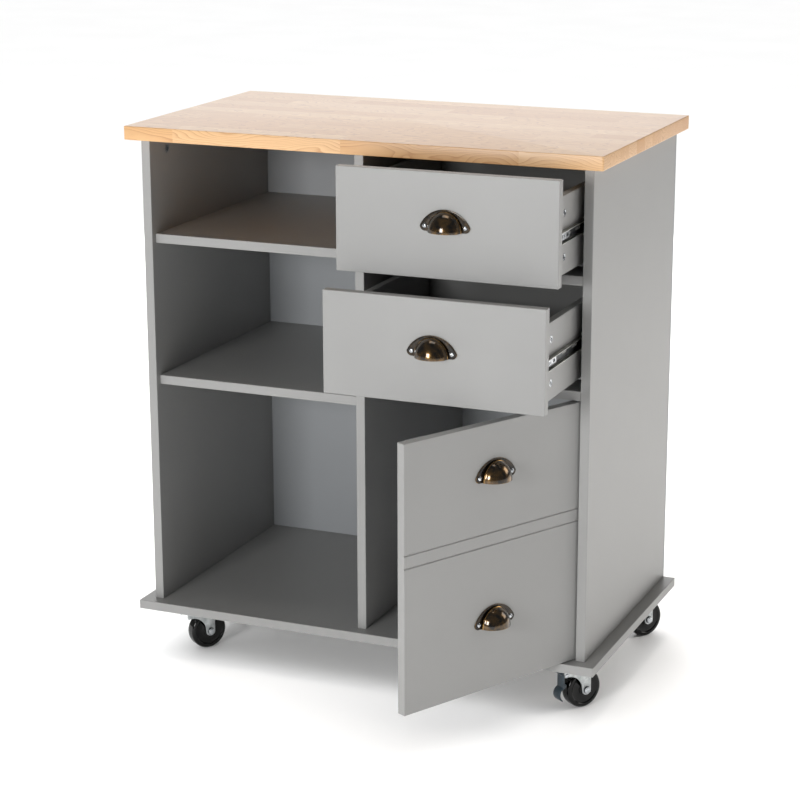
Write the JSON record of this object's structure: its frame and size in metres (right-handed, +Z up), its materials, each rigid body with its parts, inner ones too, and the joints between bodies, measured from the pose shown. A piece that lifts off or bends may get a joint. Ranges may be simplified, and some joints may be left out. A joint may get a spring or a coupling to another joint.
{
  "type": "kitchen island cart",
  "caption": "Rolling kitchen cart with a timber worktop, an open shelf bay, drawers on ball slides over a hinged cupboard door, and swivel casters with brakes.",
  "frame": {"origin": "on the floor, at the middle of the bounding box of the cart as stored, with both drawers and the door partly open", "axes": "+X to the cart's right seen from the front, +Y from the front to the back, +Z up"},
  "size_m": [0.8, 0.7379, 0.9],
  "materials": {
    "worktop_timber": "oiled rubberwood staves",
    "painted_board": "satin grey paint on fibreboard",
    "back_board": "matt grey foil on hardboard",
    "antique_brass": "antiqued and lacquered",
    "cam_zinc": "die-cast zinc",
    "screw_zinc": "bright zinc plate",
    "dowel_beech": "raw",
    "slide_steel": "zinc plate",
    "cage_steel": "oiled",
    "white_plastic": "moulded",
    "strike_steel": "nickel plate",
    "caster_zinc": "zinc plate",
    "axle_steel": "zinc plate",
    "caster_black": "polished",
    "pedal_steel": "dark blue-grey enamel"
  },
  "bodies": {
    "cart": {"worktop": "worktop_timber", "left_side": "painted_board", "right_side": "painted_board", "divider": "painted_board", "back_panel": "back_board", "base_board": "painted_board", "upper_shelf": "painted_board", "lower_shelf": "painted_board", "upper_rail": "painted_board", "lower_rail": "painted_board", "cam_locks": "cam_zinc", "cam_bolts": "cam_zinc", "rail_dowels": "dowel_beech", "base_screws": "screw_zinc", "back_screws": "screw_zinc", "slide_channels": "slide_steel", "fitting_screws": "screw_zinc", "door_catch": "white_plastic", "pivot_sockets": "white_plastic", "caster_plates": "caster_zinc"},
    "upper_drawer": {"upper_drawer_front": "painted_board", "upper_drawer_left": "painted_board", "upper_drawer_right": "painted_board", "upper_drawer_back": "painted_board", "upper_drawer_bottom": "back_board", "upper_drawer_pull": "antique_brass", "upper_drawer_cams": "cam_zinc", "upper_drawer_screws": "screw_zinc", "upper_drawer_slides": "slide_steel"},
    "lower_drawer": {"lower_drawer_front": "painted_board", "lower_drawer_left": "painted_board", "lower_drawer_right": "painted_board", "lower_drawer_back": "painted_board", "lower_drawer_bottom": "back_board", "lower_drawer_pull": "antique_brass", "lower_drawer_cams": "cam_zinc", "lower_drawer_screws": "screw_zinc", "lower_drawer_slides": "slide_steel"},
    "upper_cages": {"upper_ball_cages": "cage_steel"},
    "lower_cages": {"lower_ball_cages": "cage_steel"},
    "door": {"door_panel": "painted_board", "door_pull_upper": "antique_brass", "door_pull_lower": "antique_brass", "door_screws": "screw_zinc", "catch_strike": "strike_steel", "pivot_pins": "screw_zinc"},
    "fork_front_left": {"fork_front_left": "caster_zinc", "axle_front_left": "axle_steel"},
    "wheel_front_left": {"wheel_front_left": "caster_black"},
    "fork_front_right": {"fork_front_right": "caster_zinc", "axle_front_right": "axle_steel"},
    "wheel_front_right": {"wheel_front_right": "caster_black"},
    "fork_back_left": {"fork_back_left": "caster_zinc", "axle_back_left": "axle_steel"},
    "wheel_back_left": {"wheel_back_left": "caster_black"},
    "fork_back_right": {"fork_back_right": "caster_zinc", "axle_back_right": "axle_steel"},
    "wheel_back_right": {"wheel_back_right": "caster_black"},
    "pedal_front": {"brake_pedal_front": "pedal_steel"},
    "pedal_back": {"brake_pedal_back": "pedal_steel"}
  },
  "joints": [
    {"name": "upper_drawer_slide", "type": "slide", "parent": "cart", "child": "upper_drawer", "axis": [0, -1, 0], "range_m": [-0.107, 0.143]},
    {"name": "upper_cage_slide", "type": "slide", "parent": "cart", "child": "upper_cages", "axis": [0, -1, 0], "range_m": [-0.0535, 0.0715]},
    {"name": "lower_drawer_slide", "type": "slide", "parent": "cart", "child": "lower_drawer", "axis": [0, -1, 0], "range_m": [-0.158, 0.092]},
    {"name": "lower_cage_slide", "type": "slide", "parent": "cart", "child": "lower_cages", "axis": [0, -1, 0], "range_m": [-0.079, 0.046]},
    {"name": "door_hinge", "type": "hinge", "parent": "cart", "child": "door", "pos_m": [0.358, -0.05611, 0.1], "axis": [0, 0, 1], "range_deg": [-63, 42]},
    {"name": "swivel_front_left", "type": "hinge", "parent": "cart", "child": "fork_front_left", "pos_m": [-0.336, -0.02511, 0.08], "axis": [0, 0, 1], "continuous": true},
    {"name": "spin_front_left", "type": "hinge", "parent": "fork_front_left", "child": "wheel_front_left", "pos_m": [-0.31765, 0.00111, 0.03175], "axis": [0.8192, -0.5736, 0], "continuous": true},
    {"name": "swivel_front_right", "type": "hinge", "parent": "cart", "child": "fork_front_right", "pos_m": [0.336, -0.02511, 0.08], "axis": [0, 0, 1], "continuous": true},
    {"name": "spin_front_right", "type": "hinge", "parent": "fork_front_right", "child": "wheel_front_right", "pos_m": [0.35435, 0.00111, 0.03175], "axis": [0.8192, -0.5736, 0], "continuous": true},
    {"name": "swivel_back_left", "type": "hinge", "parent": "cart", "child": "fork_back_left", "pos_m": [-0.336, 0.31289, 0.08], "axis": [0, 0, 1], "continuous": true},
    {"name": "spin_back_left", "type": "hinge", "parent": "fork_back_left", "child": "wheel_back_left", "pos_m": [-0.31765, 0.33911, 0.03175], "axis": [0.8192, -0.5736, 0], "continuous": true},
    {"name": "swivel_back_right", "type": "hinge", "parent": "cart", "child": "fork_back_right", "pos_m": [0.336, 0.31289, 0.08], "axis": [0, 0, 1], "continuous": true},
    {"name": "spin_back_right", "type": "hinge", "parent": "fork_back_right", "child": "wheel_back_right", "pos_m": [0.35435, 0.33911, 0.03175], "axis": [0.8192, -0.5736, 0], "continuous": true},
    {"name": "brake_front", "type": "hinge", "parent": "fork_front_right", "child": "pedal_front", "pos_m": [0.3317, -0.03125, 0.0641], "axis": [0.8192, -0.5736, 0], "range_deg": [0, 9.5]},
    {"name": "brake_back", "type": "hinge", "parent": "fork_back_left", "child": "pedal_back", "pos_m": [-0.3403, 0.30675, 0.0641], "axis": [0.8192, -0.5736, 0], "range_deg": [0, 9.5]}
  ],
  "couplings": [
    {"joint": "upper_cage_slide", "follows": "upper_drawer_slide", "ratio": 0.5},
    {"joint": "lower_cage_slide", "follows": "lower_drawer_slide", "ratio": 0.5}
  ]
}
